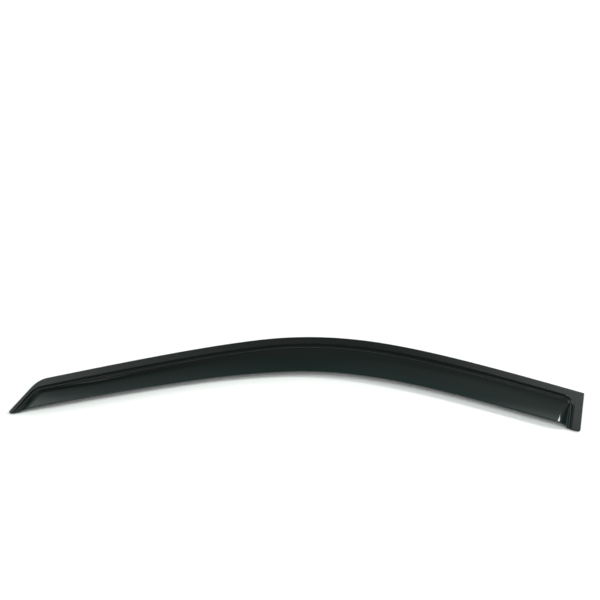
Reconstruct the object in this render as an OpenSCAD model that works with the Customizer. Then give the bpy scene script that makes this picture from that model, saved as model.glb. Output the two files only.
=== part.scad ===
// Smoked acrylic rain deflector for the window of a car's front door.
// It lies on its adhesive side: X runs from the pointed front tip to the square rear end,
// Y runs up to the arched edge that follows the door frame, Z points away from the glass.

/* [Outline] */
// Distance along X from the front tip to the square rear corner
visor_l = 979; // [760:1:1200]
// Distance along X from the front tip to the crown of the arch
crown_x = 483.5; // [380:0.5:580]
// Height of the arched edge at its crown, over the front tip
crown_y = 141.2; // [110:0.1:170]
// Height of the rear corner over the front tip
rear_corner_y = 2.5; // [-30:0.1:30]
// Distance along X from the tip to the corner where slanted front and arch would meet
front_corner_x = 38.5; // [30:0.5:60]
// Height of that front corner over the tip
front_corner_y = 66.5; // [55:0.5:80]
// Length of the curve that rounds the front corner, along the arch
front_round = 16; // [10:1:25]
// Width of the deflector at its crown, from the arched edge down to the free lip
crown_w = 81.6; // [72:0.1:100]
// Width of the deflector at its rear end
end_w = 79; // [65:0.5:95]
// Radius of the front tip
tip_r = 4.2; // [1:0.1:5]
// Radius of the lower rear corner
rear_r = 4; // [2:0.5:8]

/* [Slopes of the edges] */
// Slope of the arched edge behind the front corner
front_slope = 0.217; // [0.12:0.001:0.3]
// Slope of the arched edge where it meets the rear end
rear_slope = -0.41; // [-0.5:0.01:-0.3]
// Slope of the free lip at the tip
lip_front_slope = 0.125; // [0.05:0.001:0.18]
// Slope of the free lip at the rear end
lip_rear_slope = -0.36; // [-0.42:0.01:-0.25]

/* [Section] */
// Thickness of the acrylic
wall = 2.8; // [2.4:0.1:4]
// Width of the flat flange along the arch, from the edge to the groove
flange_top = 15.5; // [14:0.5:20]
// Width of the flat flange at the rear end
flange_end = 13.5; // [12.5:0.5:18]
// Width of the flat flange along the slanted front
flange_front = 6.5; // [6:0.5:9]
// Distance from the tip at which the shoulder has its full width
flare_l = 150; // [100:5:320]
// Width of the groove between the flange and the ridge
groove_w = 5; // [4:0.25:6]
// Depth of that groove in the outer face
groove_d = 1.3; // [0.6:0.1:1.5]
// Width of the ridge
ridge_w = 1.3; // [1:0.1:2]
// Width of the finer groove on the other side of the ridge
line_w = 3.5; // [2.5:0.25:4]
// Depth of the finer groove
line_d = 0.8; // [0.3:0.1:1]
// Height of the ridge and the shoulder over the flange
step_h = 0.6; // [0.2:0.1:1.5]
// Width of the flat shoulder between the ridge and the body, along the arch
shoulder_top = 7.7; // [4:0.1:9]
// Height that the shoulder gains over that width
shoulder_rise = 1.1; // [0:0.1:2]
// Width of the shoulder at the rear end and along the slanted front
shoulder_end = 0.9; // [0.6:0.1:2]
// Softness of the inner rear corner of groove and ridge
corner_blend = 19; // [8:1:30]
// Softness of the inner front corner, where slanted front and arch meet
front_blend = 6; // [3:0.5:10]

/* [Body] */
// Height of the free lip over the shoulder at the crown
lip_rise = 11; // [8:0.1:16]
// Share of the body's rise that comes early, as a quarter round below the shoulder
belly = 0.15; // [0:0.05:0.5]
// Share of the body's width over which that quarter round runs
belly_share = 0.33; // [0.2:0.01:0.6]
// Distance from the tip at which the lip has its full height
front_taper_l = 90; // [60:5:260]
// Length of the stretch before the rear end over which the lip comes down
rear_taper_l = 380; // [200:10:420]
// Share of its height that the lip keeps at the rear end
rear_lip_share = 0.85; // [0.5:0.01:1]
// Width of the curved wall that closes the body at both ends
end_wall_w = 16; // [10:1:24]

/* [Adhesive strips] */
// Thickness of the foam tape
tape_t = 1; // [0.8:0.1:1.5]
// Thickness of the release film under the tape
liner_t = 0.2; // [0.2:0.05:0.3]
// Width of the tape along the arch
tape_top_w = 10; // [6:0.5:11]
// Width of the tape at the rear end
tape_end_w = 8; // [5:0.5:9]
// Width of the tape along the slanted front
tape_front_w = 4; // [2:0.5:4.5]
// Distance of the tapes from the edge along the arch and at the rear end
tape_inset = 2; // [1:0.25:2]
// Distance of the front tape from the slanted edge
tape_front_inset = 1; // [0.5:0.25:1]
// Gap between two tapes where they meet at a corner
tape_gap = 1; // [0.5:0.5:4]
// Distance of the tape ends from the tip and from the free lip
tape_end_clear = 6; // [4:1:15]

/* [Hidden] */

// Reach of the curve handles, as shares of the span between the points that they join
FRONT_PULL = 0.336;
CROWN_FRONT_PULL = 0.23;
CROWN_REAR_PULL = 0.27;
REAR_PULL = 0.52;
LIP_PULL = 0.34;
// Flat margin between the tapes and the groove
MARGIN = 2;
// Share of the front corner's rounding that lies on the slanted edge
SLANT_ROUND = 1.1;
// Distance of the lip's highest point from the crown, towards the front
LIP_CROWN_BACK = 6;
// Distance along the lip that the slanted front is laid out over
SLANT_FOOT_X = 50;
// Largest share of a narrow section that flange, groove, ridge and shoulder may take
BAND_SHARE = 0.6;
// How far the small arc at the tip stands out, as a share of its radius
TIP_BULGE = 0.8;
// A groove's power, the share of its width at which it is deepest, and one between that and its end
NOTCH_POWER = 0.35;
NOTCH_FOOT = 0.14;
NOTCH_MID = 0.58;
// Share of the end wall's height that a straight slope gives; a quarter ellipse gives the rest
BROW_SLOPE = 0.4;
// Grid of the shell: stations along the arch, and rows from the shoulder to the lip
SLANT_STEPS = 12;
CORNER_STEPS = 7;
ARCH_STEP = 14;
WALL_STEPS = 6;
BODY_STEPS = 11;
// Rows of the body crowd towards the shoulder by this power
BODY_POWER = 1.25;
// Extra stations before the end wall, as distances from it, and the gap to the even ones
WALL_LEAD = [16, 10, 4];
LEAD_GAP = 8;
// Steps of a curve's lookup table
TABLE_STEPS = 24;

tape_z = liner_t;
flange_z = liner_t + tape_t + wall;
ridge_end = groove_w + ridge_w;
line_foot = ridge_end + NOTCH_FOOT * line_w;
end_run = ridge_end + shoulder_end;

function unit(v) = v / norm(v);
function ease(t) = let (s = max(0, min(1, t))) s * s * (3 - 2 * s);
// Quarter round: steep at its foot and level at its top
function crest(t) = 1 - pow(1 - max(0, min(1, t)), 2);
function smooth_min(a, b, k) = min(a, b) - pow(max(k - abs(a - b), 0), 2) / (4 * k);
function smooth_max(a, b, k) = -smooth_min(-a, -b, k);
// Steep wall down where t is 0, and a slow rise up to where it is 1
function notch(t) = let (q = pow(max(0, min(1, t)), NOTCH_POWER)) 4 * q * (1 - q);
// Quarter ellipse on a straight slope, which leaves a crease at its top
function brow(t) = let (s = max(0, min(1, t))) BROW_SLOPE * s + (1 - BROW_SLOPE) * sqrt(s * (2 - s));

// Cubic curve through four control points, and its direction
function curve(p, t) = p[0] * pow(1 - t, 3) + 3 * p[1] * t * pow(1 - t, 2)
    + 3 * p[2] * t * t * (1 - t) + p[3] * pow(t, 3);
function curve_dir(p, t) = unit((p[1] - p[0]) * pow(1 - t, 2) + 2 * (p[2] - p[1]) * t * (1 - t)
    + (p[3] - p[2]) * t * t);
function curve_at(p, x) = let (t = lookup(x, [for (k = [0 : TABLE_STEPS])
    [curve(p, k / TABLE_STEPS).x, k / TABLE_STEPS]])) [curve(p, t), curve_dir(p, t)];
// Control points between two ends with given slopes and pulls
function ramp(a, slope_a, pull_a, b, slope_b, pull_b) = let (span = b.x - a.x)
    [a, a + span * pull_a * [1, slope_a], b - span * pull_b * [1, slope_b], b];

// Corner points of the plan
tip = [0, 0];
front_corner = [front_corner_x, front_corner_y];
rear_corner = [visor_l, rear_corner_y];
crown = [crown_x, crown_y];
slant_dir = unit(front_corner - tip);
slant_in = [slant_dir.y, -slant_dir.x];
front_dir = unit([1, front_slope]);
front_in = [front_dir.y, -front_dir.x];
round_end = front_corner + front_round * front_dir;
round_start = front_corner - SLANT_ROUND * front_round * slant_dir;
rear_dir = unit([1, rear_slope]);
rear_in = [rear_dir.y, -rear_dir.x];
rear_foot = rear_corner + end_w * rear_in;

front_ramp = ramp(round_end, front_slope, FRONT_PULL, crown, 0, CROWN_FRONT_PULL);
rear_ramp = ramp(crown, 0, CROWN_REAR_PULL, rear_corner, rear_slope, REAR_PULL);
lip_crown = [crown_x - LIP_CROWN_BACK, crown_y - crown_w];
lip_front = ramp(tip, lip_front_slope, LIP_PULL, lip_crown, 0, LIP_PULL);
lip_rear = ramp(lip_crown, 0, LIP_PULL, rear_foot, lip_rear_slope, LIP_PULL);

function arch_at(x) = curve_at(x < crown_x ? front_ramp : rear_ramp, x);
function lip_y(x) = curve_at(x < lip_crown.x ? lip_front : lip_rear, x)[0].y;
function inward(dir) = [dir.y, -dir.x];
// Distances of a plan point from the slanted front, the arch's straight start and the rear end
function from_slant(p) = (p - tip) * slant_in;
function from_front(p) = (p - front_corner) * front_in;
function from_end(p) = (rear_corner - p) * rear_dir;

// Place on the lip that a line from the arch, square to it, runs down to
function lip_x(o, n, x, turns = 5) = turns == 0 ? x
    : lip_x(o, n, o.x + n.x / n.y * (lip_y(x) - o.y), turns - 1);

// Distances from the rear end at which the shell has a station, closer where it bends
wall_foot = flange_end + end_run;
end_marks = [for (d = WALL_LEAD) wall_foot + end_wall_w + d,
    for (k = [WALL_STEPS : -1 : 1]) wall_foot + end_wall_w * k / WALL_STEPS,
    for (u = [end_run, line_foot, ridge_end, groove_w, NOTCH_MID * groove_w,
        NOTCH_FOOT * groove_w, 0, -MARGIN, -flange_end / 2, -flange_end]) flange_end + u];
arch_end_x = rear_corner.x - (end_marks[0] + LEAD_GAP) * rear_dir.x;
front_n = ceil((crown_x - round_end.x) / ARCH_STEP);
rear_n = ceil((arch_end_x - crown_x) / ARCH_STEP);
arch_xs = [for (k = [1 : front_n]) round_end.x + (crown_x - round_end.x) * k / front_n,
    for (k = [1 : rear_n]) crown_x + (arch_end_x - crown_x) * k / rear_n,
    for (b = end_marks) rear_corner.x - b * rear_dir.x];

// Each station is the point on the outer edge, the direction inward and the point on the lip
slant_l = norm(round_start - tip);
round_foot_x = lip_x(round_end, inward(front_dir), round_end.x);
function station_arch(x) = let (e = arch_at(x), n = inward(e[1]), fx = lip_x(e[0], n, x))
    [e[0], n, [fx, lip_y(fx)]];
function station_round(t) = let (
    p = [round_start, (round_start + 2 * front_corner) / 3, (round_end + 2 * front_corner) / 3, round_end],
    fx = SLANT_FOOT_X + (round_foot_x - SLANT_FOOT_X) * t)
    [curve(p, t), inward(curve_dir(p, t)), [fx, lip_y(fx)]];
function station_slant(t) = let (s = 2 * tip_r + (slant_l - 2 * tip_r) * t,
    fx = 2 * tip_r + (SLANT_FOOT_X - 2 * tip_r) * t)
    [tip + s * slant_dir, slant_in, [fx, lip_y(fx)]];
stations = [for (k = [0 : SLANT_STEPS - 1]) station_slant(k / SLANT_STEPS),
    for (k = [0 : CORNER_STEPS]) station_round(k / CORNER_STEPS),
    for (x = arch_xs) station_arch(x)];
last = len(stations) - 1;

// Distance inward from a station to the line that lies v past the flange
function on_arch(s) = s[0].x >= round_end.x;
function band_at(s, v) = on_arch(s) ? flange_top + v
    : smooth_max((flange_front + v - from_slant(s[0])) / (s[1] * slant_in),
    (flange_top + v - from_front(s[0])) / (s[1] * front_in), front_blend);
// Width of groove, ridge and shoulder together, which grows behind the front corner
function flare(s) = ease((s[0].x - front_corner_x) / (flare_l - front_corner_x));
function band_run(s) = end_run + (shoulder_top - shoulder_end) * flare(s);
// Share of those widths that a narrow section near the tip leaves
function room(s) = min(1, BAND_SHARE * (s[2] - s[0]) * s[1] / band_at(s, band_run(s)));

// Rows: three over the flange, then groove, ridge, finer groove and shoulder, the rest over the body
function band_marks(s) = [0, for (v = [-MARGIN, 0, NOTCH_FOOT * groove_w, NOTCH_MID * groove_w, groove_w,
    ridge_end, line_foot, line_foot + NOTCH_MID * (band_run(s) - line_foot), band_run(s)]) band_at(s, v)];
body_marks = [for (k = [1 : BODY_STEPS]) pow(k / BODY_STEPS, BODY_POWER)];
BAND_ROWS = 10;
rows = BAND_ROWS + BODY_STEPS;
function plan_point(s, j) = let (m = band_marks(s), q = s[0] + s[1] * m[BAND_ROWS - 1] * room(s))
    j < BAND_ROWS ? s[0] + s[1] * m[j] * room(s) : q + (s[2] - q) * body_marks[j - BAND_ROWS];

// Line on which the body starts under the arch, carried on straight past the front corner
function shoulder_point(s) = s[0] + s[1] * (flange_top + band_run(s));
arch_shoulder = [for (x = arch_xs) shoulder_point(station_arch(x))];
shoulder_line = [arch_shoulder[0] - 2 * front_corner_x * [1, front_slope], for (p = arch_shoulder) p];
function across(p) = let (top = lookup(p.x, shoulder_line)) max(0, (top - p.y) / (top - lip_y(p.x)));

// Height of the shell's outer face over the glass side
function rise_at(x) = lip_rise * crest(x / front_taper_l)
    * (1 - (1 - rear_lip_share) * ease(1 - (rear_corner.x - x) / rear_taper_l));
// Distance of a point past the flange, blended at both inner corners from the edges that meet there
function arch_inset(s, j, p) = !on_arch(s) ? from_front(p) - flange_top
    : j < BAND_ROWS ? band_marks(s)[j] * room(s) - flange_top
    : band_run(s) + norm(p - plan_point(s, BAND_ROWS - 1));
function inset(s, j, p) = smooth_min(smooth_min(arch_inset(s, j, p), from_slant(p) - flange_front,
    front_blend), from_end(p) - flange_end, corner_blend);
// Step and grooves fade out towards the tip
function grow(s) = min(1, s[0].y / (2 * flange_front));
function body_at(s, j, p) = let (c = across(p),
    lean = max(0, min(1, (arch_inset(s, j, p) - ridge_end) / (band_run(s) - ridge_end))),
    body = j < BAND_ROWS ? 0 : (1 - belly) * c + belly * crest(c / belly_share),
    front = from_slant(p) - flange_front - end_run,
    rear = from_end(p) - wall_foot)
    (shoulder_rise * flare(s) * lean + rise_at(p.x) * body)
    * crest(front / end_wall_w) * brow(rear / end_wall_w);

// Rounds the lower rear corner: a square of side rear_r is drawn in to a quarter circle
round_mid = rear_foot - rear_r * rear_dir - rear_r * rear_in;
function rounded(p) = let (v = p - round_mid, a = v * rear_dir, b = v * rear_in)
    a > 0 && b > 0 ? round_mid + v * max(a, b) / norm(v) : p;
// The tip's own row of points lies on its small arc
function tip_point(j) = let (t = j / (rows - 1), a = stations[0][0], b = stations[0][2],
    out = unit((a + b) / 2 - tip))
    a + (b - a) * t - out * tip_r * sin(180 * t) * TIP_BULGE;

// The face without its grooves, to which the inner face runs parallel, and the outer face with them
base = [for (i = [0 : last]) [for (j = [0 : rows - 1])
    let (s = stations[i], p = i == 0 ? tip_point(j) : rounded(plan_point(s, j)))
    [p.x, p.y, flange_z + (i == 0 ? 0 : grow(s) * step_h * ease(inset(s, j, p) / groove_w)
        + body_at(s, j, p))]]];
function groove_at(s, u) = grow(s) * (groove_d * notch(u / groove_w) + line_d * notch((u - ridge_end) / line_w));
outer = [for (i = [0 : last]) [for (j = [0 : rows - 1]) let (p = base[i][j])
    p - [0, 0, i == 0 ? 0 : groove_at(stations[i], inset(stations[i], j, [p.x, p.y]))]]];
function across_i(i, j) = base[min(i + 1, last)][j] - base[max(i - 1, 0)][j];
function across_j(i, j) = base[i][min(j + 1, rows - 1)] - base[i][max(j - 1, 0)];
function up(i, j) = unit(cross(across_j(i, j), across_i(i, j)));
inner = [for (i = [0 : last]) [for (j = [0 : rows - 1]) base[i][j] - wall * up(i, j)]];

// The model is centred on the plan box of the shell
all_x = [for (column = outer) for (p = column) p.x];
all_y = [for (column = outer) for (p = column) p.y];
centre = [(min(all_x) + max(all_x)) / 2, (min(all_y) + max(all_y)) / 2, 0];

function quad(a, b, c, d) = [[a, b, c], [a, c, d]];
module shell() {
    count = (last + 1) * rows;
    points = [for (column = outer) each column, for (column = inner) each column];
    top_faces = [for (i = [0 : last - 1]) for (j = [0 : rows - 2]) let (k = i * rows + j)
        each quad(k, k + 1, k + rows + 1, k + rows)];
    under_faces = [for (f = top_faces) [f[2] + count, f[1] + count, f[0] + count]];
    edge = [for (j = [0 : rows - 1]) j, for (i = [1 : last]) i * rows + rows - 1,
        for (j = [rows - 2 : -1 : 0]) last * rows + j, for (i = [last - 1 : -1 : 1]) i * rows];
    rim_faces = [for (k = [0 : len(edge) - 1]) let (a = edge[k], b = edge[(k + 1) % len(edge)])
        each quad(b, a, a + count, b + count)];
    polyhedron(points, concat(top_faces, under_faces, rim_faces), convexity = 6);
}

// Outlines of the adhesive strips, from the same stations as the shell
arch_tape_xs = [for (x = arch_xs) if (x < arch_end_x) x,
    arch_end_x, rear_corner.x - tape_inset * rear_dir.x];
function strip(side, a) = [for (s = side) s[0] + s[1] * a];
function reversed(l) = [for (k = [len(l) - 1 : -1 : 0]) l[k]];
module band(side, a, w) {
    polygon(concat(strip(side, a), reversed(strip(side, a + w))));
}
module top_band() {
    band([for (x = arch_tape_xs) station_arch(x)], tape_inset, tape_top_w);
}
module rear_band() {
    start = tape_inset + tape_top_w + tape_gap;
    side = [for (a = [start, end_w - tape_end_clear]) [rear_corner + a * rear_in, -rear_dir]];
    band(side, tape_inset, tape_end_w);
}
module front_band() {
    side = [for (s = [2 * tape_end_clear, slant_l - tape_gap]) [tip + s * slant_dir, slant_in]];
    band(side, tape_front_inset, tape_front_w);
}

module visor() {
    color([0.16, 0.19, 0.18]) translate(-centre) shell();
}
module tape_top() {
    color([0.25, 0.25, 0.26]) translate([0, 0, tape_z] - centre) linear_extrude(tape_t) top_band();
}
module tape_rear() {
    color([0.25, 0.25, 0.26]) translate([0, 0, tape_z] - centre) linear_extrude(tape_t) rear_band();
}
module tape_front() {
    color([0.25, 0.25, 0.26]) translate([0, 0, tape_z] - centre) linear_extrude(tape_t) front_band();
}
module liner_top() {
    color([0.65, 0.12, 0.1]) translate(-centre) linear_extrude(liner_t) top_band();
}
module liner_rear() {
    color([0.65, 0.12, 0.1]) translate(-centre) linear_extrude(liner_t) rear_band();
}
module liner_front() {
    color([0.65, 0.12, 0.1]) translate(-centre) linear_extrude(liner_t) front_band();
}

visor();
tape_top();
tape_rear();
tape_front();
liner_top();
liner_rear();
liner_front();
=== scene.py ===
# %% [markdown]
# # A smoked rain deflector for a car's front door
# The real part is one sheet of dark acrylic, about 2.8 mm thick and almost a metre long. It has a
# flat flange that is taped over the door frame, a groove with a small ridge, a shoulder, and a body
# that stands away from the glass up to a free lip. This lesson builds it as a surface worked out
# with numpy, gives it its two finishes, a satin flange and a glossy body, and lights it as a
# product on a white table.

# %% Load the fixed frame
import math

import bpy
import numpy as np
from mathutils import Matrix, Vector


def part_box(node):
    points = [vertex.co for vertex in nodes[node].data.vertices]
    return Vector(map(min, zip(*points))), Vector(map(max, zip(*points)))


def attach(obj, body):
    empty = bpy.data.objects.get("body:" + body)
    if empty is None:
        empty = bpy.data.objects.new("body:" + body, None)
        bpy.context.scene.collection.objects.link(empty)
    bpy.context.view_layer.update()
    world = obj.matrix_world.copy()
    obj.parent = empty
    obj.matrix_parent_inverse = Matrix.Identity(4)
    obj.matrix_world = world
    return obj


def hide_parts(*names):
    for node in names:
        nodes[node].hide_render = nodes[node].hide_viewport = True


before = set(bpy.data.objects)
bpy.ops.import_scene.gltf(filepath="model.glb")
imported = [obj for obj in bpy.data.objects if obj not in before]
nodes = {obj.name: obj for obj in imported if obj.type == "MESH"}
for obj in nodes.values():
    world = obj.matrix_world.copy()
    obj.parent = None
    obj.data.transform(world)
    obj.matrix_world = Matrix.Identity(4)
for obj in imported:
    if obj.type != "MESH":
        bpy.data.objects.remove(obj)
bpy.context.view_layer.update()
print("nodes:", sorted(nodes))

# %% [markdown]
# ## The sizes that shape the shell
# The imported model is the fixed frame, so the visible shell has to keep its form and place. Its
# driving sizes are written here in millimetres, with the front tip as the starting point. They
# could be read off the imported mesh, but then the surface would only be as fine as that mesh. A few
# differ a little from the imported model's, because a glossy surface shows what facets hide: the
# flange is up to 1 mm wider and the groove 1 mm narrower, the shoulder rises 0.7 mm more and the
# body after it 0.7 mm less, the lip lies 1.2 mm further out at the crown, and the rear end is
# 0.5 mm shorter.

# %% Sizes of the outline, in millimetres
MM = 0.001
# Points in plan: the front tip, the corner of slant and arch, the arch's crown, the rear corner
TIP = np.array([0.0, 0.0])
FRONT_CORNER = np.array([38.5, 66.5])
CROWN = np.array([483.5, 141.2])
REAR_CORNER = np.array([979.0, 2.5])
# Width of the shell from the crown down to the lip's, and along the rear end
CROWN_W, END_W = 82.8, 78.5
# Roundings of the front corner, of the tip and of the rear end's lower corner
FRONT_ROUND, TIP_R, REAR_R = 16.0, 4.2, 4.0
# Slopes of the arch and of the lip at front and rear; both are level at their crowns
FRONT_SLOPE, REAR_SLOPE = 0.217, -0.41
LIP_FRONT_SLOPE, LIP_REAR_SLOPE = 0.125, -0.36
# The lip's crown lies this much nearer the front than the arch's
LIP_CROWN_BACK = 6.0
# How far each handle reaches, as a share of its curve's span in x
FRONT_PULL, CROWN_FRONT_PULL, CROWN_REAR_PULL, REAR_PULL, LIP_PULL = 0.336, 0.23, 0.27, 0.52, 0.34
# The rounding of the front corner starts this many times FRONT_ROUND down the slant
SLANT_ROUND = 1.1
# The line across from the foot of that rounding meets the lip at this x
SLANT_FOOT_X = 50.0
print("outline from", TIP, "over", CROWN, "to", REAR_CORNER)

# %% Sizes of the section, in millimetres
WALL = 2.8
# Width of the flange along the arch, the rear end and the slant
FLANGE_TOP, FLANGE_END, FLANGE_FRONT = 16.5, 14.5, 7.0
# The step up after the flange, the groove in it, the ridge, and the fine line after that
STEP_H = 0.6
GROOVE_W, GROOVE_D = 4.0, 1.3
RIDGE_W = 1.3
LINE_W, LINE_D = 3.5, 0.8
# Width of the shoulder on the arch and elsewhere, its rise, and where it has its full width
SHOULDER_TOP, SHOULDER_END, SHOULDER_RISE = 7.7, 0.9, 1.8
FLARE_L = 150.0
# Softness of the inner corners at the rear end and at the front
CORNER_BLEND, FRONT_BLEND = 19.0, 6.0
# Rise of the body: the share of it that comes early, within what share of the way, and its swell
LIP_RISE = 10.3
BELLY, BELLY_SHARE, SWELL = 0.15, 0.33, 0.2
# The rise grows over a length at the front, and falls over one at the rear, to a share of itself
FRONT_TAPER_L, REAR_TAPER_L, REAR_LIP_SHARE = 90.0, 380.0, 0.85
# Width of the wall that closes the body at each end
END_WALL_W = 16.0
# Softness of the rear crease as a share of END_WALL_W: at its top, and how much more at the lip
CREASE, LIP_CREASE = 0.02, 0.35
# Thickness of the tape and of its film, on which the sheet lies
TAPE_T, LINER_T = 1.0, 0.2
FLANGE_Z = LINER_T + TAPE_T + WALL
RIDGE_END = GROOVE_W + RIDGE_W
END_RUN = RIDGE_END + SHOULDER_END
print("flange surface lies", FLANGE_Z, "mm over the table")

# %% [markdown]
# ## Curves with handles
# Each long edge of the outline is a pair of cubic curves that meet at the crown of that edge. A
# cubic with handles is what a designer draws for such an edge: two end points, two slopes, and how
# far each slope carries. A curve through many measured points would show every error as a ripple.

# %% Helpers for blends


def unit(v):
    """v divided by its length, row by row."""
    return v / np.linalg.norm(v, axis=-1, keepdims=True)


def ease(t):
    """3 t^2 - 2 t^3 with t held between 0 and 1."""
    t = np.clip(t, 0.0, 1.0)
    return t * t * (3.0 - 2.0 * t)


def crest(t):
    """1 - (1 - t)^2 with t held between 0 and 1: steep at its foot, level at its top."""
    return 1.0 - (1.0 - np.clip(t, 0.0, 1.0)) ** 2


BROW_LINE = 0.4


def brow(t):
    """k t + (1 - k) sqrt(t (2 - t)), k = BROW_LINE and t in 0 to 1: steep foot, crease at its top."""
    t = np.clip(t, 0.0, 1.0)
    return BROW_LINE * t + (1.0 - BROW_LINE) * np.sqrt(t * (2.0 - t))


def smooth_min(a, b, k):
    """min(a, b) less (k - |a - b|)^2 / 4k where a and b differ by less than k."""
    return np.minimum(a, b) - np.maximum(k - np.abs(a - b), 0.0) ** 2 / (4.0 * k)


print("half way up: ease", ease(0.5), "crest", crest(0.5), "brow", brow(0.5).round(3))

# %% Helpers for curves


def cubic(p, t):
    """p0 (1-t)^3 + 3 p1 t (1-t)^2 + 3 p2 t^2 (1-t) + p3 t^3."""
    t = np.asarray(t, float)[..., None]
    return p[0] * (1 - t) ** 3 + 3 * p[1] * t * (1 - t) ** 2 + 3 * p[2] * t * t * (1 - t) + p[3] * t ** 3


def cubic_dir(p, t):
    """Unit vector along the derivative of cubic(p, t)."""
    t = np.asarray(t, float)[..., None]
    return unit((p[1] - p[0]) * (1 - t) ** 2 + 2 * (p[2] - p[1]) * t * (1 - t) + (p[3] - p[2]) * t * t)


def ramp(a, slope_a, pull_a, b, slope_b, pull_b):
    """Four control points from a to b; each handle reaches pull times the span in x."""
    span = b[0] - a[0]
    return [a, a + span * pull_a * np.array([1, slope_a]), b - span * pull_b * np.array([1, slope_b]), b]


def parameter_at(p, x, steps=400):
    """The t at which cubic(p, t) has this x, by interpolation in a table."""
    t = np.linspace(0.0, 1.0, steps)
    return np.interp(x, cubic(p, t)[:, 0], t)


def two_ramps(first, second, x):
    """Points and directions at x on two curves that meet, first and then second."""
    x = np.atleast_1d(np.asarray(x, float))
    early = x < second[0][0]
    point, along = np.empty((len(x), 2)), np.empty((len(x), 2))
    for part, p in ((early, first), (~early, second)):
        t = parameter_at(p, x[part])
        point[part], along[part] = cubic(p, t), cubic_dir(p, t)
    return point, along


def inward(along):
    """The direction to the right of travel, which points into the shell."""
    return np.stack([along[..., 1], -along[..., 0]], -1)


level_ramp = ramp(np.zeros(2), 0.0, 0.5, np.ones(2), 0.0, 0.5)
print("middle of a ramp from 0, 0 to 1, 1:", cubic(level_ramp, 0.5))

# %% Lay out the arched edge, the slanted front, the rear end and the free lip
slant_dir = unit(FRONT_CORNER - TIP)
slant_in = inward(slant_dir)
front_dir = unit(np.array([1.0, FRONT_SLOPE]))
front_in = inward(front_dir)
rear_dir = unit(np.array([1.0, REAR_SLOPE]))
rear_in = inward(rear_dir)
rear_foot = REAR_CORNER + END_W * rear_in
round_start = FRONT_CORNER - SLANT_ROUND * FRONT_ROUND * slant_dir
round_end = FRONT_CORNER + FRONT_ROUND * front_dir
lip_crown = CROWN - np.array([LIP_CROWN_BACK, CROWN_W])
arch = (ramp(round_end, FRONT_SLOPE, FRONT_PULL, CROWN, 0.0, CROWN_FRONT_PULL),
        ramp(CROWN, 0.0, CROWN_REAR_PULL, REAR_CORNER, REAR_SLOPE, REAR_PULL))
lip = (ramp(TIP, LIP_FRONT_SLOPE, LIP_PULL, lip_crown, 0.0, LIP_PULL),
       ramp(lip_crown, 0.0, LIP_PULL, rear_foot, LIP_REAR_SLOPE, LIP_PULL))


def lip_y(x):
    """Height in plan of the free lip at x."""
    shape = np.shape(x)
    return two_ramps(*lip, np.ravel(x))[0][:, 1].reshape(shape)


def lip_foot(o, n, x, turns=5):
    """Where the line from o along n meets the lip: x = o.x + n.x / n.y (lip_y(x) - o.y), repeated."""
    for _ in range(turns):
        x = o[:, 0] + n[:, 0] / n[:, 1] * (lip_y(x) - o[:, 1])
    return np.stack([x, lip_y(x)], -1)


print("rear end runs from", REAR_CORNER, "to", rear_foot.round(1))

# %% [markdown]
# ## A grid that follows the section
# The shell is a grid of stations along the outer edge and rows across. Near the edge the rows run
# parallel to it, so that the flange, the groove, the ridge and the shoulder stay crisp lines.
# Beyond the shoulder they fan out to the lip, a little closer together at first. A grid square to
# the axes would be simpler, but it would cut each of these lines into steps. Stations are closer
# together where the form bends.

# %% Stations along the edge


def spaced(marks, counts):
    """Evenly spaced values between each pair of marks, ends joined."""
    parts = [np.linspace(a, b, n, endpoint=False) for a, b, n in zip(marks[:-1], marks[1:], counts)]
    return np.concatenate(parts + [[marks[-1]]])


# The arch has finer stations up to FRONT_ZONE_X, and over the last REAR_ZONE before the rear end,
# finest from WALL_MARGIN before the end wall on
FRONT_ZONE_X, REAR_ZONE = 140.0, 70.0
WALL_MARGIN = 4.0


def make_stations():
    """Edge points, inward directions and lip points: the slant, the rounded corner, then the arch."""
    slant_l = np.linalg.norm(round_start - TIP)
    s = spaced([0.0, 0.35, 1.0], [22, 34])[:-1]
    reach = 2 * TIP_R + (slant_l - 2 * TIP_R) * s
    slant_o = TIP + reach[:, None] * slant_dir
    slant_n = np.repeat(slant_in[None], len(s), 0)
    slant_fx = 2 * TIP_R + (SLANT_FOOT_X - 2 * TIP_R) * s
    handles = [round_start, (round_start + 2 * FRONT_CORNER) / 3,
               (round_end + 2 * FRONT_CORNER) / 3, round_end]
    t = np.linspace(0.0, 1.0, 23)
    round_o, round_n = cubic(handles, t), inward(cubic_dir(handles, t))
    foot_x = lip_foot(round_o[-1:], round_n[-1:], round_o[-1:, 0])[0, 0]
    round_fx = SLANT_FOOT_X + (foot_x - SLANT_FOOT_X) * t
    wall_end = FLANGE_END + END_RUN
    wall_start = wall_end + END_WALL_W + WALL_MARGIN
    b = spaced([REAR_ZONE, wall_start, wall_end, FLANGE_END, 0.0], [16, 34, 22, 10])
    rear_x = REAR_CORNER[0] - b * rear_dir[0]
    x = np.concatenate([spaced([round_end[0], FRONT_ZONE_X, rear_x[0]], [26, 176])[1:-1], rear_x])
    arch_o, along = two_ramps(*arch, x)
    arch_n = inward(along)
    arch_l = lip_foot(arch_o, arch_n, x)
    feet = [np.stack([fx, lip_y(fx)], -1) for fx in (slant_fx, round_fx)]
    return (np.concatenate([slant_o, round_o, arch_o]), np.concatenate([slant_n, round_n, arch_n]),
            np.concatenate(feet + [arch_l]), len(s) + len(t))


edge_o, edge_n, edge_l, arch_start = make_stations()
on_arch = edge_o[:, 0] >= round_end[0]
print(len(edge_o), "stations, of which", arch_start, "lie before the arch")

# %% Rows across, from the edge to the lip
# The band of flange, groove and shoulder takes at most this share of the way to the lip
BAND_SHARE = 0.6


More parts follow.
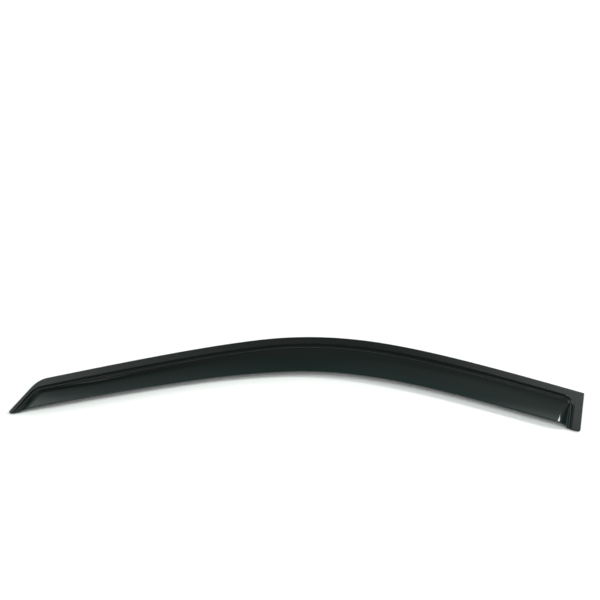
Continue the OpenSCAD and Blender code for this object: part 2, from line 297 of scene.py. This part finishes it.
def band_at(v):
    """Distance inward to the line v past the flange: the arch's, or the slant's where that is more."""
    slant = (FLANGE_FRONT + v - (edge_o - TIP) @ slant_in) / (edge_n @ slant_in)
    arch_side = (FLANGE_TOP + v - (edge_o - FRONT_CORNER) @ front_in) / (edge_n @ front_in)
    return np.where(on_arch, FLANGE_TOP + v, -smooth_min(-slant, -arch_side, FRONT_BLEND))


flare = ease((edge_o[:, 0] - FRONT_CORNER[0]) / (FLARE_L - FRONT_CORNER[0]))
band_run = END_RUN + (SHOULDER_TOP - SHOULDER_END) * flare
reach_in = ((edge_l - edge_o) * edge_n).sum(-1)
room = np.minimum(1.0, BAND_SHARE * reach_in / band_at(band_run))
# Row marks: 0 to 1 over the flange, 1 to 2 over groove and ridge, 2 to 3 over the shoulder
band_rows = spaced([0.0, 1.0, 1.2, 2.0, 2.15, 3.0], [6, 10, 14, 7, 8])
body_rows = np.linspace(0.0, 1.0, 64)[1:] ** 1.25
print(len(band_rows), "rows in the band and", len(body_rows), "in the body")

# %% [markdown]
# ## The height of the shell
# Over the flat flange the height is constant. A groove, a ridge and a finer line end it, on the
# arch and at the rear end alike, with a soft inner corner where the two meet. The shoulder then
# leans up, and the body rises early and levels off towards the lip. A wall closes it at each end:
# a rounded one in front, and at the rear a steeper one with a crease, which softens towards the
# lip. All this could be modelled by hand from a box, but one formula of the place in plan keeps
# the lines in step with each other.

# %% Points in plan


def plan_grid():
    """Band rows offset inward and body rows on to the lip, and how far each is past the arch's flange."""
    columns = []
    for mark in band_rows:
        past = min(max(mark - 1.0, 0.0), 1.0) * RIDGE_END + max(mark - 2.0, 0.0) * (band_run - RIDGE_END)
        columns.append(band_at(past) * min(mark, 1.0) * room)
    offset = np.stack(columns, 1)
    band = edge_o[:, None] + edge_n[:, None] * offset[..., None]
    shoulder = band[:, -1:]
    body = shoulder + (edge_l[:, None] - shoulder) * body_rows[None, :, None]
    past_arch = np.concatenate([offset - FLANGE_TOP,
                                band_run[:, None] + np.linalg.norm(body - shoulder, axis=-1)], 1)
    return np.concatenate([band, body], 1), past_arch


def round_rear(p):
    """Draws a square corner of side REAR_R in to a quarter circle: v max(a, b) / |v|."""
    mid = rear_foot - REAR_R * (rear_dir + rear_in)
    v = p - mid
    a, b = v @ rear_dir, v @ rear_in
    inside = (a > 0) & (b > 0)
    share = np.where(inside, np.maximum(a, b) / np.maximum(np.linalg.norm(v, axis=-1), 1e-9), 1.0)
    return mid + v * share[..., None]


TIP_BULGE = 0.8


def tip_row(count):
    """The first station, on the arc of the tip: its chord less TIP_BULGE TIP_R sin(pi t)."""
    t = np.linspace(0.0, 1.0, count)[:, None]
    a, b = edge_o[0], edge_l[0]
    out = unit((a + b) / 2 - TIP)
    return a + (b - a) * t - out * TIP_R * np.sin(math.pi * t) * TIP_BULGE


plan, past_arch = plan_grid()
plan = round_rear(plan)
plan[0] = tip_row(plan.shape[1])
print("grid in plan:", plan.shape)

# %% The band of step, groove, ridge and line
NOTCH_POWER = 0.35


def soft_inset(p, past_arch):
    """Distance past the flange, blended at both inner corners from the edges that meet there."""
    straight = (p - FRONT_CORNER) @ front_in - FLANGE_TOP
    past_arch = np.where(on_arch[:, None], past_arch, straight)
    past_slant = (p - TIP) @ slant_in - FLANGE_FRONT
    past_end = (REAR_CORNER - p) @ rear_dir - FLANGE_END
    return smooth_min(smooth_min(past_arch, past_slant, FRONT_BLEND), past_end, CORNER_BLEND)


def notch(t):
    """4 q (1 - q) with q = t^NOTCH_POWER: a steep wall down at t = 0, a slow rise up to t = 1."""
    q = np.clip(t, 0.0, 1.0) ** NOTCH_POWER
    return 4.0 * q * (1.0 - q)


def band_height(u):
    """Step h ease(u / w), and the depth of the groove before the ridge and the line after it."""
    step = STEP_H * ease(u / GROOVE_W)
    return step, GROOVE_D * notch(u / GROOVE_W) + LINE_D * notch((u - RIDGE_END) / LINE_W)


depth = soft_inset(plan, past_arch)
step, groove = band_height(depth)
print("groove", groove.max().round(2), "mm deep, step", step.max(), "mm high")

# %% The shoulder and the body


def body_share(p):
    """Place across the body: 0 at the shoulder line, 1 at the lip."""
    line = edge_o[arch_start:] + edge_n[arch_start:] * (FLANGE_TOP + band_run)[arch_start:, None]
    before = line[0] - 2 * FRONT_CORNER[0] * np.array([1.0, FRONT_SLOPE])
    line = np.concatenate([before[None], line])
    top = np.interp(p[..., 0], line[:, 0], line[:, 1])
    c = np.maximum(0.0, (top - p[..., 1]) / (top - lip_y(p[..., 0])))
    c[:, :len(band_rows)] = 0.0
    return c


def body_height(p, c, past_arch):
    """(shoulder + rise x ((1 - belly + swell (1 - c)) c + belly crest(c / share))) x both walls."""
    rise = LIP_RISE * crest(p[..., 0] / FRONT_TAPER_L)
    rise = rise * (1 - (1 - REAR_LIP_SHARE) * ease(1 - (REAR_CORNER[0] - p[..., 0]) / REAR_TAPER_L))
    body = rise * ((1 - BELLY + SWELL * (1 - c)) * c + BELLY * crest(c / BELLY_SHARE))
    straight = (p - FRONT_CORNER) @ front_in - FLANGE_TOP
    past_ridge = np.where(on_arch[:, None], past_arch, straight) - RIDGE_END
    body += SHOULDER_RISE * (flare * np.clip(past_ridge.T / (band_run - RIDGE_END), 0.0, 1.0)).T
    from_slant = (p - TIP) @ slant_in - FLANGE_FRONT - END_RUN
    from_end = (REAR_CORNER - p) @ rear_dir - FLANGE_END - END_RUN
    soft = CREASE + LIP_CREASE * np.clip(c, 0.0, 1.0) ** 4
    return body * crest(from_slant / END_WALL_W) * brow(smooth_min(from_end / END_WALL_W, 1.0, soft))


# Step and groove grow from nothing at the tip
grow = np.minimum(1.0, edge_o[:, 1] / (2 * FLANGE_FRONT))[:, None]
grow[0] = 0.0
across = body_share(plan)
smooth_z = FLANGE_Z + grow * step + np.sign(grow) * body_height(plan, across, past_arch)
base = np.concatenate([plan, smooth_z[..., None]], -1)
outer = base - (grow * groove)[..., None] * np.array([0.0, 0.0, 1.0])
print("outer face:", outer.shape, "top at", outer[..., 2].max().round(2), "mm")

# %% [markdown]
# ## From a face to a sheet with rounded edges
# The sheet has the same thickness everywhere, so the inner face is the smooth outer one, without
# its grooves, moved along its normals. A Solidify modifier would do that too, but would leave
# square edges and press the grooves through. Here a closed profile runs round the rim: a small
# arc, the flat of the cut edge, and a second arc.

# %% Close the sheet
EDGE_R = 0.7
ARC_STEPS = 4


def grid_normals(g):
    """Unit normals: the cross product of the differences along rows and along stations."""
    along = np.empty_like(g)
    along[1:-1] = g[2:] - g[:-2]
    along[0], along[-1] = g[1] - g[0], g[-1] - g[-2]
    down = np.empty_like(g)
    down[:, 1:-1] = g[:, 2:] - g[:, :-2]
    down[:, 0], down[:, -1] = g[:, 1] - g[:, 0], g[:, -1] - g[:, -2]
    return unit(np.cross(down, along))


def rim_loop(columns, rows):
    """Station and row numbers round the border: tip, lip, rear end and back along the edge."""
    i = np.concatenate([np.zeros(rows, int), np.arange(1, columns), np.full(rows - 1, columns - 1),
                        np.arange(columns - 2, 0, -1)])
    j = np.concatenate([np.arange(rows), np.full(columns - 1, rows - 1), np.arange(rows - 2, -1, -1),
                        np.zeros(columns - 2, int)])
    return i, j


def outward(loop):
    """Mitred outward direction in plan at each point of a closed loop: (e1 + e2) / (1 + e1.e2)."""
    side = unit(np.roll(loop, -1, 0) - loop)
    e2 = np.stack([side[:, 1], -side[:, 0]], -1)
    e1 = np.roll(e2, 1, 0)
    return (e1 + e2) / np.maximum(1 + (e1 * e2).sum(-1, keepdims=True), 0.5)


def sheet_mesh(outer, base):
    """Points and quads of the closed sheet, and which grid point each comes from."""
    columns, rows = outer.shape[:2]
    normal = grid_normals(base)
    i, j = rim_loop(columns, rows)
    e = outward(outer[i, j, :2])
    e = np.concatenate([e, np.zeros((len(e), 1))], -1)
    n = normal[i, j]
    inner = base - WALL * normal
    outer, inner = outer.copy(), inner.copy()
    outer[i, j] -= EDGE_R * e
    inner[i, j] -= EDGE_R * e
    angle = np.linspace(0, math.pi / 2, ARC_STEPS + 1)[1:]
    top = [outer[i, j] + EDGE_R * (math.sin(a) * e + (math.cos(a) - 1) * n) for a in angle]
    low = [inner[i, j] + EDGE_R * (math.sin(a) * e - (math.cos(a) - 1) * n) for a in angle[::-1]]
    count = columns * rows
    ring = len(i)
    points = np.concatenate([outer.reshape(-1, 3), inner.reshape(-1, 3)] + top + low)
    k = (np.arange(columns - 1)[:, None] * rows + np.arange(rows - 1)[None]).ravel()
    face = np.stack([k, k + 1, k + rows + 1, k + rows], -1)
    rings = [i * rows + j] + [2 * count + r * ring + np.arange(ring) for r in range(2 * ARC_STEPS)]
    rings.append(count + i * rows + j)
    rim = [np.stack([a, b, np.roll(b, -1), np.roll(a, -1)], -1) for a, b in zip(rings[:-1], rings[1:])]
    source = np.concatenate([np.arange(count)] * 2 + [i * rows + j] * (2 * ARC_STEPS))
    return points, np.concatenate([face, face[:, ::-1] + count] + rim), source


# The drawing's point over the frame's origin, from the rear corner and the crown of the CAD shell
low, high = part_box("visor")
centre = np.array([REAR_CORNER[0] - high[0] / MM, CROWN[1] - high[1] / MM, 0.0])
shell_points, shell_faces, shell_source = sheet_mesh(outer - centre, base - centre)
print("sheet:", len(shell_points), "points,", 2 * len(shell_faces), "triangles, centre", centre.round(2))

# %% Put the sheet into a mesh, with masks for the flange and for the place across the body, which carries painted light


def make_mesh(name, points, faces):
    """A smooth shaded mesh object at the origin, from points in millimetres and quads."""
    mesh = bpy.data.meshes.new(name)
    mesh.vertices.add(len(points))
    mesh.vertices.foreach_set("co", (points * MM).astype(np.float32).ravel())
    mesh.loops.add(faces.size)
    mesh.loops.foreach_set("vertex_index", faces.astype(np.int32).ravel())
    mesh.polygons.add(len(faces))
    mesh.polygons.foreach_set("loop_start", np.arange(0, faces.size, 4, dtype=np.int32))
    mesh.update(calc_edges=True)
    mesh.validate()
    mesh.shade_smooth()
    obj = bpy.data.objects.new(name, mesh)
    bpy.context.scene.collection.objects.link(obj)
    return obj


def add_mask(obj, name, values):
    """Stores one value for each point as an attribute that the material reads."""
    attribute = obj.data.attributes.new(name, "FLOAT", "POINT")
    attribute.data.foreach_set("value", values.astype(np.float32))


# The satin fades into gloss over 1 mm, half of it before the flange's end
FADE_START = 0.5
shell = make_mesh("visor_shell", shell_points, shell_faces)
add_mask(shell, "flange", (1.0 - ease(depth + FADE_START)).ravel()[shell_source])
# Place across the body, 0 at the shoulder and 1 at the lip: the mask of the painted light
add_mask(shell, "painted_light", np.minimum(1.0, across).ravel()[shell_source])
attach(shell, "root")
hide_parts("visor")
print("CAD shell:", [round(v, 4) for v in low], [round(v, 4) for v in high])

# %% [markdown]
# ## Finishes
# Smoked acrylic is glossy as it leaves the mould, and the flange has a fine satin grain, so that
# the tape behind it doesn't show. Both are the same dark green grey plastic, so one material reads
# the flange mask and changes only its roughness, grain and shade. Two materials would meet in a
# hard line. The real sheet lets a little light through, most where it stands furthest off the
# ground. Glass-like light paths would be slow and noisy for so dark a sheet, so a second mask paints
# that light into the colour instead: painted light makes the plastic a little paler and greener
# towards the lip.

# %% Build the shared grain group


def new_group(name, inputs, outputs):
    """An empty shader node group with named float inputs and outputs."""
    group = bpy.data.node_groups.new(name, "ShaderNodeTree")
    for label, value in inputs:
        socket = group.interface.new_socket(label, in_out="INPUT", socket_type="NodeSocketFloat")
        socket.default_value = value
    for label in outputs:
        group.interface.new_socket(label, in_out="OUTPUT", socket_type="NodeSocketFloat")
    return group, group.nodes.new("NodeGroupInput"), group.nodes.new("NodeGroupOutput")


def grain_group():
    """Fine grain and slow cloudiness on object coordinates, each from 0 to 1."""
    group, start, end = new_group("fine_grain", [("Grain Scale", 900.0), ("Cloud Scale", 9.0)],
                                  ["Grain", "Cloud"])
    nodes_, links = group.nodes, group.links
    place = nodes_.new("ShaderNodeTexCoord")
    for label, scale, detail in (("Grain", "Grain Scale", 3.0), ("Cloud", "Cloud Scale", 2.0)):
        noise = nodes_.new("ShaderNodeTexNoise")
        noise.inputs["Detail"].default_value = detail
        links.new(place.outputs["Object"], noise.inputs["Vector"])
        links.new(start.outputs[scale], noise.inputs["Scale"])
        links.new(noise.outputs["Fac"], end.inputs[label])
    return group


GRAIN = grain_group()


def new_material(name):
    """A material with an empty Principled shader."""
    material = bpy.data.materials.new(name)
    material.use_nodes = True
    tree = material.node_tree
    tree.nodes.clear()
    shader = tree.nodes.new("ShaderNodeBsdfPrincipled")
    out = tree.nodes.new("ShaderNodeOutputMaterial")
    tree.links.new(shader.outputs["BSDF"], out.inputs["Surface"])
    return material, tree, shader


def add_grain(tree, grain_scale, cloud_scale):
    """The grain group with its own scales."""
    node = tree.nodes.new("ShaderNodeGroup")
    node.node_tree = GRAIN
    node.inputs["Grain Scale"].default_value = grain_scale
    node.inputs["Cloud Scale"].default_value = cloud_scale
    return node


def map_range(tree, value, low, high):
    """A value from 0 to 1 carried to low and high."""
    node = tree.nodes.new("ShaderNodeMapRange")
    node.inputs["To Min"].default_value = low
    node.inputs["To Max"].default_value = high
    tree.links.new(value, node.inputs["Value"])
    return node.outputs["Result"]


def read_mask(tree, name):
    """The value that add_mask stored under this name."""
    node = tree.nodes.new("ShaderNodeAttribute")
    node.attribute_name = name
    return node.outputs["Fac"]


def mix_colour(tree, factor, a, b):
    """Colour a where factor is 0, b where it is 1; a and b are colours or sockets."""
    node = tree.nodes.new("ShaderNodeMix")
    node.data_type = "RGBA"
    tree.links.new(factor, node.inputs[0])
    for number, item in ((6, a), (7, b)):
        if isinstance(item, tuple):
            node.inputs[number].default_value = (*item, 1.0)
        else:
            tree.links.new(item, node.inputs[number])
    return node.outputs[2]


def mix_value(tree, factor, a, b):
    """Socket a where factor is 0, socket b where it is 1."""
    node = tree.nodes.new("ShaderNodeMix")
    node.data_type = "FLOAT"
    for number, item in enumerate((factor, a, b)):
        tree.links.new(item, node.inputs[(0, 2, 3)[number]])
    return node.outputs[0]


print("groups:", [g.name for g in bpy.data.node_groups])

# %% Smoked acrylic: glossy body, satin flange
# The second colour is painted light, for the light that comes through the sheet near the lip
DEEP_COLOUR = (0.0051, 0.0072, 0.0064)
PAINTED_LIGHT_COLOUR = (0.0068, 0.0148, 0.0134)
SATIN_COLOUR = (0.0046, 0.0062, 0.0056)
GLOSS_ROUGHNESS, SATIN_ROUGHNESS = (0.07, 0.13), (0.24, 0.34)
ACRYLIC_IOR = 1.49


def smoked_acrylic():
    """One plastic in two finishes, chosen by the flange mask, with painted light: paler where light comes
    through.
    """
    material, tree, shader = new_material("smoked_acrylic")
    fac = read_mask(tree, "flange")
    # Painted light: the deep colour turns paler and greener towards the lip
    through = mix_colour(tree, read_mask(tree, "painted_light"), DEEP_COLOUR, PAINTED_LIGHT_COLOUR)
    grain = add_grain(tree, 1400.0, 7.0)
    tree.links.new(mix_colour(tree, fac, through, SATIN_COLOUR), shader.inputs["Base Color"])
    gloss = map_range(tree, grain.outputs["Cloud"], *GLOSS_ROUGHNESS)
    satin = map_range(tree, grain.outputs["Grain"], *SATIN_ROUGHNESS)
    tree.links.new(mix_value(tree, fac, gloss, satin), shader.inputs["Roughness"])
    bump = tree.nodes.new("ShaderNodeBump")
    bump.inputs["Strength"].default_value = 0.25
    bump.inputs["Distance"].default_value = 0.0001
    height = tree.nodes.new("ShaderNodeMath")
    height.operation = "MULTIPLY"
    tree.links.new(fac, height.inputs[0])
    tree.links.new(grain.outputs["Grain"], height.inputs[1])
    tree.links.new(height.outputs["Value"], bump.inputs["Height"])
    tree.links.new(bump.outputs["Normal"], shader.inputs["Normal"])
    shader.inputs["IOR"].default_value = ACRYLIC_IOR
    shader.inputs["Specular Tint"].default_value = (0.93, 1.0, 0.98, 1.0)
    return material


shell.data.materials.append(smoked_acrylic())
print("shell material:", shell.data.materials[0].name)

# %% [markdown]
# ## Tape and film
# The adhesive side has strips of grey foam tape, each still under its red release film. Foam is
# matt and finely cellular. The film is thin and smooth, and slightly wavy where it was rolled on,
# so its reflections wander: a low, wide bump gives that without any extra mesh.

# %% Foam tape and release film
FOAM_DARK, FOAM_PALE, FOAM_ROUGHNESS = (0.035, 0.035, 0.037), (0.075, 0.075, 0.078), (0.8, 0.95)
FILM_DEEP, FILM_PALE, FILM_ROUGHNESS = (0.40, 0.022, 0.016), (0.55, 0.04, 0.028), (0.24, 0.36)


def foam_tape():
    """Dark grey closed-cell foam: matt, with a fine uneven grain."""
    material, tree, shader = new_material("foam_tape")
    grain = add_grain(tree, 2600.0, 40.0)
    tree.links.new(mix_colour(tree, grain.outputs["Grain"], FOAM_DARK, FOAM_PALE),
                   shader.inputs["Base Color"])
    tree.links.new(map_range(tree, grain.outputs["Cloud"], *FOAM_ROUGHNESS), shader.inputs["Roughness"])
    bump = tree.nodes.new("ShaderNodeBump")
    bump.inputs["Strength"].default_value = 0.6
    bump.inputs["Distance"].default_value = 0.0002
    tree.links.new(grain.outputs["Grain"], bump.inputs["Height"])
    tree.links.new(bump.outputs["Normal"], shader.inputs["Normal"])
    return material


def release_film():
    """Red film: smooth and slightly wavy, a little paler where it lifts."""
    material, tree, shader = new_material("release_film")
    grain = add_grain(tree, 300.0, 45.0)
    tree.links.new(mix_colour(tree, grain.outputs["Cloud"], FILM_DEEP, FILM_PALE),
                   shader.inputs["Base Color"])
    tree.links.new(map_range(tree, grain.outputs["Cloud"], *FILM_ROUGHNESS), shader.inputs["Roughness"])
    bump = tree.nodes.new("ShaderNodeBump")
    bump.inputs["Strength"].default_value = 0.35
    bump.inputs["Distance"].default_value = 0.0006
    tree.links.new(grain.outputs["Cloud"], bump.inputs["Height"])
    tree.links.new(bump.outputs["Normal"], shader.inputs["Normal"])
    return material


def dress(prefix, material):
    """Gives every CAD node whose name starts with prefix this material."""
    for name in sorted(nodes):
        if name.startswith(prefix):
            nodes[name].data.materials.clear()
            nodes[name].data.materials.append(material)
            print(name, "->", material.name)


dress("tape", foam_tape())
dress("liner", release_film())

# %% [markdown]
# ## Table, light and camera
# The part lies on a plain white table. Large square lamps light the table and draw the soft shadow
# under the lip. The gloss doesn't see them: on a part as dark as this one, each lamp would stand
# out as a hard bright patch. What it mirrors instead is the world, a dim room with soft glows in it.
# A wide glow on the left gives the front half its sheen, a smaller one the rear flange, and a tiny
# strong one sits where only the softened crease at the rear end mirrors it, as a spot of light.
# Real lamps alone would do too, but then shadow and sheen could not be set apart from each other.

# %% The white table
TABLE_SIZE, TABLE_GAP, TABLE_WHITE = 12.0, 0.0002, 0.9
# Emission for the camera alone: a small lift near the part, growing to 1, plain white, further off
NEAR_REACH, FAR_REACH = 0.7, 2.2
NEAR_LIFT, FAR_LIFT = 0.07, 1.0


def white_table():
    """Matt white that keeps the shadow; for camera rays it also emits the lift of its distance."""
    material, tree, shader = new_material("white_table")
    path = tree.nodes.new("ShaderNodeLightPath")
    place = tree.nodes.new("ShaderNodeTexCoord")
    reach = tree.nodes.new("ShaderNodeVectorMath")
    reach.operation = "LENGTH"
    tree.links.new(place.outputs["Object"], reach.inputs[0])
    lift = tree.nodes.new("ShaderNodeMapRange")
    for label, value in (("From Min", NEAR_REACH), ("From Max", FAR_REACH),
                         ("To Min", NEAR_LIFT), ("To Max", FAR_LIFT)):
        lift.inputs[label].default_value = value
    tree.links.new(reach.outputs["Value"], lift.inputs["Value"])
    seen = tree.nodes.new("ShaderNodeMath")
    seen.operation = "MULTIPLY"
    tree.links.new(lift.outputs["Result"], seen.inputs[0])
    tree.links.new(path.outputs["Is Camera Ray"], seen.inputs[1])
    tree.links.new(seen.outputs["Value"], shader.inputs["Emission Strength"])
    shader.inputs["Emission Color"].default_value = (1.0, 1.0, 1.0, 1.0)
    shader.inputs["Base Color"].default_value = (TABLE_WHITE, TABLE_WHITE, TABLE_WHITE, 1.0)
    shader.inputs["Roughness"].default_value = 0.9
    shader.inputs["Specular IOR Level"].default_value = 0.1
    return material


bpy.ops.mesh.primitive_plane_add(size=TABLE_SIZE, location=(0, 0, -TABLE_GAP))
table = bpy.context.object
table.name = "table_top"
table.data.materials.append(white_table())
print("table:", table.name, "with", table.data.materials[0].name)

# %% The lamps
# A trace of green, as in light that has passed the smoked sheet; the table clips it to white
LAMP_COLOUR = (0.94, 1.0, 0.965)


def direction(azimuth, elevation):
    """Unit vector for an azimuth from +Y towards +X and an elevation, both in degrees."""
    a, e = math.radians(azimuth), math.radians(elevation)
    return (math.sin(a) * math.cos(e), math.cos(a) * math.cos(e), math.sin(e))


def table_lamp(name, azimuth, elevation, size, level, distance=6.0):
    """Square lamp that gives the table this share of full light: power = level pi^2 d^2 / sin(e)."""
    lamp = bpy.data.lights.new(name, "AREA")
    lamp.shape = "SQUARE"
    lamp.size = size
    lamp.color = LAMP_COLOUR
    lamp.energy = level * math.pi ** 2 * distance ** 2 / math.sin(math.radians(elevation))
    obj = bpy.data.objects.new(name, lamp)
    obj.location = distance * np.array(direction(azimuth, elevation))
    obj.rotation_euler = (math.radians(90.0 - elevation), 0.0, math.radians(180.0 - azimuth))
    obj.visible_glossy = False
    bpy.context.scene.collection.objects.link(obj)
    print(name, "gives the table", level, "of full light")


# Each lamp: its azimuth and elevation in degrees, its size in metres, its share of full light
table_lamp("lamp_top", 180.0, 77.0, 3.4, 0.44)
table_lamp("lamp_right", 88.0, 38.0, 0.85, 0.34)
table_lamp("lamp_left", -84.0, 40.0, 1.45, 0.08)
table_lamp("lamp_front", 180.0, 35.0, 2.4, 0.03)

# %% The glows that the gloss mirrors


def glow(tree, sight, toward, inner, outer, strength):
    """strength within inner degrees of a direction, fading smoothly to 0 at outer degrees."""
    dot = tree.nodes.new("ShaderNodeVectorMath")
    dot.operation = "DOT_PRODUCT"
    dot.inputs[1].default_value = direction(*toward)
    tree.links.new(sight, dot.inputs[0])
    fade = tree.nodes.new("ShaderNodeMapRange")
    fade.interpolation_type = "SMOOTHSTEP"
    fade.inputs["From Min"].default_value = math.cos(math.radians(outer))
    fade.inputs["From Max"].default_value = math.cos(math.radians(inner))
    fade.inputs["To Max"].default_value = strength
    tree.links.new(dot.outputs["Value"], fade.inputs["Value"])
    return fade.outputs["Result"]


# Each glow: its azimuth and elevation, its inner and outer radius, all in degrees, its strength
GLOWS = (((-60.0, 48.0), 10.0, 45.0, 0.73),     # wide sheen of the front half
         ((-42.0, 42.0), 5.0, 18.0, 1.0),       # front flange and the foot of the slant
         ((40.0, 48.5), 2.0, 11.5, 1.62),       # rear flange
         ((30.0, 48.0), 4.0, 22.0, 0.14),       # soft edge of that glow along the flange
         ((34.0, 30.0), 3.0, 14.0, 0.14),       # upper body near the rear
         ((53.0, 28.0), 2.0, 12.0, 0.28),       # rear end wall
         ((20.0, 20.0), 10.0, 45.0, 0.12),      # faint light low behind the part
         ((48.0, 40.0), 1.0, 4.5, 24.0),        # spot on the softened crease
         ((180.0, 38.0), 10.0, 50.0, 0.22))     # front side, for views from behind
ROOM_LEVEL = 0.01


def studio_world():
    """A dim room with soft glows around the part, and plain white where the camera looks past it."""
    world = bpy.data.worlds.new("studio")
    world.use_nodes = True
    tree = world.node_tree
    tree.nodes.clear()
    sight = tree.nodes.new("ShaderNodeTexCoord").outputs["Generated"]
    level = ROOM_LEVEL
    for toward, inner, outer, strength in GLOWS:
        add = tree.nodes.new("ShaderNodeMath")
        if isinstance(level, float):
            add.inputs[0].default_value = level
        else:
            tree.links.new(level, add.inputs[0])
        tree.links.new(glow(tree, sight, toward, inner, outer, strength), add.inputs[1])
        level = add.outputs["Value"]
    path = tree.nodes.new("ShaderNodeLightPath")
    dim = tree.nodes.new("ShaderNodeBackground")
    tree.links.new(level, dim.inputs["Strength"])
    white = tree.nodes.new("ShaderNodeBackground")
    dim.inputs["Color"].default_value = white.inputs["Color"].default_value = (1.0, 1.0, 1.0, 1.0)
    choose = tree.nodes.new("ShaderNodeMixShader")
    out = tree.nodes.new("ShaderNodeOutputWorld")
    tree.links.new(path.outputs["Is Camera Ray"], choose.inputs["Fac"])
    tree.links.new(dim.outputs["Background"], choose.inputs[1])
    tree.links.new(white.outputs["Background"], choose.inputs[2])
    tree.links.new(choose.outputs["Shader"], out.inputs["Surface"])
    return world


bpy.context.scene.world = studio_world()
print("world:", len(GLOWS), "glows in a room at level", ROOM_LEVEL)

# %% The camera
# Millimetres from the front tip, degrees below level, degrees about Z, lens length in millimetres
CAMERA_FROM_TIP = np.array([468.8, -582.7, 972.3])
CAMERA_DOWN = 50.0
CAMERA_TURN = -2.22
LENS_LENGTH = 39.6
lens = bpy.data.cameras.new("camera")
lens.lens = LENS_LENGTH
lens.sensor_width = 36.0
camera = bpy.data.objects.new("camera", lens)
camera.location = (CAMERA_FROM_TIP - centre) * MM
camera.rotation_euler = (math.radians(90.0 - CAMERA_DOWN), 0.0, math.radians(CAMERA_TURN))
bpy.context.scene.collection.objects.link(camera)
bpy.context.scene.camera = camera
bpy.context.scene.view_settings.view_transform = "Standard"
print("camera at", [round(v, 4) for v in camera.location])
